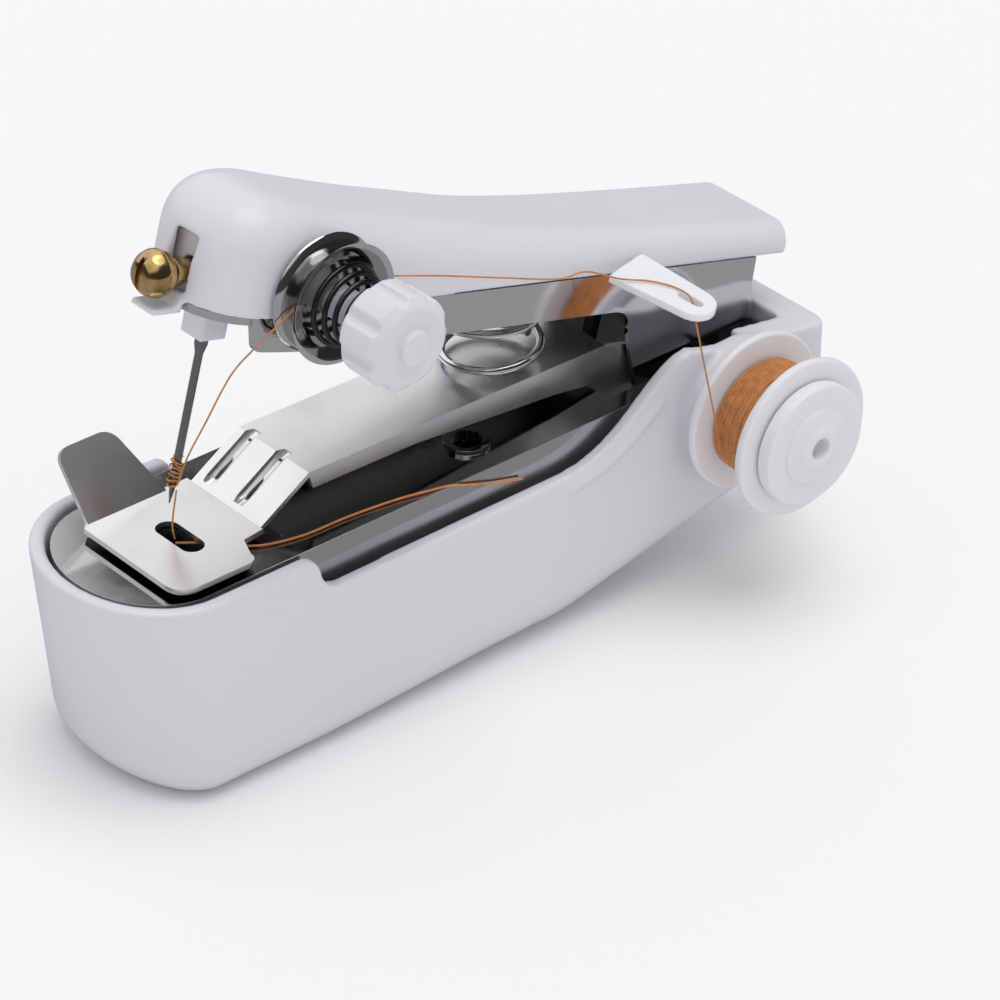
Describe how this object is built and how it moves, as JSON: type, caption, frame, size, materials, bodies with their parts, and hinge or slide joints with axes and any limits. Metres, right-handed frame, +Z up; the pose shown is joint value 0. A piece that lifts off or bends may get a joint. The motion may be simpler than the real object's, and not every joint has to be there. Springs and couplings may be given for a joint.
{
  "type": "hand-held sewing machine",
  "caption": "Palm-sized manual sewing machine: a chrome arm under a white cover is squeezed down on a white base with a chrome deck, with a thread spool at its side.",
  "frame": {"origin": "middle of the base's footprint, on the flat face that the machine stands on", "axes": "+X from the needle towards the hinge at the rear, +Z up, the spool and the tension knob on the -Y side"},
  "size_m": [0.109, 0.0454, 0.0706],
  "materials": {
    "white_plastic": "moulded white ABS, soft gloss",
    "spool_plastic": "thin moulded white plastic, slightly translucent",
    "chrome_steel": "pressed steel sheet, bright chrome plate",
    "spring_steel": "bright spring wire",
    "needle_steel": "polished steel",
    "dark_steel": "blackened spring steel",
    "yellow_zinc": "yellow passivated zinc plate",
    "thread": "twisted polyester sewing thread, orange-brown"
  },
  "bodies": {
    "base": {"base_housing": "white_plastic", "lower_frame": "chrome_steel", "pivot_pin": "needle_steel", "looper_pin": "needle_steel", "looper_spring": "dark_steel", "frame_screw_front": "needle_steel", "frame_screw_rear": "needle_steel", "thread_spool_run": "thread", "thread_eye_run": "thread", "thread_tail": "thread"},
    "arm": {"arm_channel": "chrome_steel", "top_cover": "white_plastic", "needle_holder": "white_plastic", "needle": "needle_steel", "tension_post": "white_plastic", "tension_disc_inner": "chrome_steel", "tension_disc_outer": "chrome_steel", "thread_guide": "white_plastic", "looper_drive_strip": "dark_steel", "thread_guide_run": "thread", "thread_needle_run": "thread"},
    "presser": {"presser_plate": "chrome_steel", "main_spring": "spring_steel"},
    "looper": {"looper": "needle_steel"},
    "clamp_washer": {"needle_clamp_washer": "yellow_zinc"},
    "clamp_screw": {"needle_clamp_screw": "yellow_zinc"},
    "tension_spring": {"tension_spring": "dark_steel"},
    "tension_knob": {"tension_knob": "white_plastic"},
    "spool_pin": {"spool_pin": "white_plastic"},
    "bobbin": {"bobbin": "spool_plastic", "thread_winding": "thread"}
  },
  "joints": [
    {"name": "arm_press", "type": "hinge", "parent": "base", "child": "arm", "pos_m": [0.0451, 0, 0.0215], "axis": [0, -1, 0], "range_deg": [0, 13], "stiffness_Nm_per_rad": 0.6, "springref_deg": -28.65, "deforming": ["main_spring", "thread_spool_run", "thread_eye_run", "thread_needle_run"]},
    {"name": "presser_lift", "type": "hinge", "parent": "base", "child": "presser", "pos_m": [0.0451, 0, 0.0215], "axis": [0, 1, 0], "range_deg": [0, 3.1], "stiffness_Nm_per_rad": 0.3, "springref_deg": -22.92, "deforming": ["main_spring"]},
    {"name": "looper_swing", "type": "hinge", "parent": "base", "child": "looper", "pos_m": [-0.01, 0, 0.018], "axis": [0, 1, 0], "range_deg": [0, 7], "deforming": ["looper_spring"]},
    {"name": "clamp_travel", "type": "slide", "parent": "arm", "child": "clamp_washer", "axis": [-0.9659, 0, 0.2588], "range_m": [0, 0.00075]},
    {"name": "clamp_turn", "type": "hinge", "parent": "clamp_washer", "child": "clamp_screw", "pos_m": [-0.03909, 0, 0.06352], "axis": [-0.9659, 0, 0.2588], "range_deg": [0, 540]},
    {"name": "tension_travel", "type": "slide", "parent": "arm", "child": "tension_spring", "axis": [0, -1, 0], "range_m": [-0.00105, 0.00105], "deforming": ["tension_spring"]},
    {"name": "tension_turn", "type": "hinge", "parent": "tension_spring", "child": "tension_knob", "pos_m": [-0.02272, -0.0224, 0.05934], "axis": [0, -1, 0], "range_deg": [-540, 540]},
    {"name": "spool_pin_pull", "type": "slide", "parent": "base", "child": "spool_pin", "axis": [0, -1, 0], "range_m": [0, 0.016]},
    {"name": "spool_spin", "type": "hinge", "parent": "spool_pin", "child": "bobbin", "pos_m": [0.0383, -0.02235, 0.0234], "axis": [0, 1, 0], "continuous": true}
  ],
  "couplings": [
    {"joint": "looper_swing", "follows": "arm_press", "ratio": 0.52},
    {"joint": "clamp_turn", "follows": "clamp_travel", "rad_per_m": 12566},
    {"joint": "tension_turn", "follows": "tension_travel", "rad_per_m": 8975.9}
  ]
}
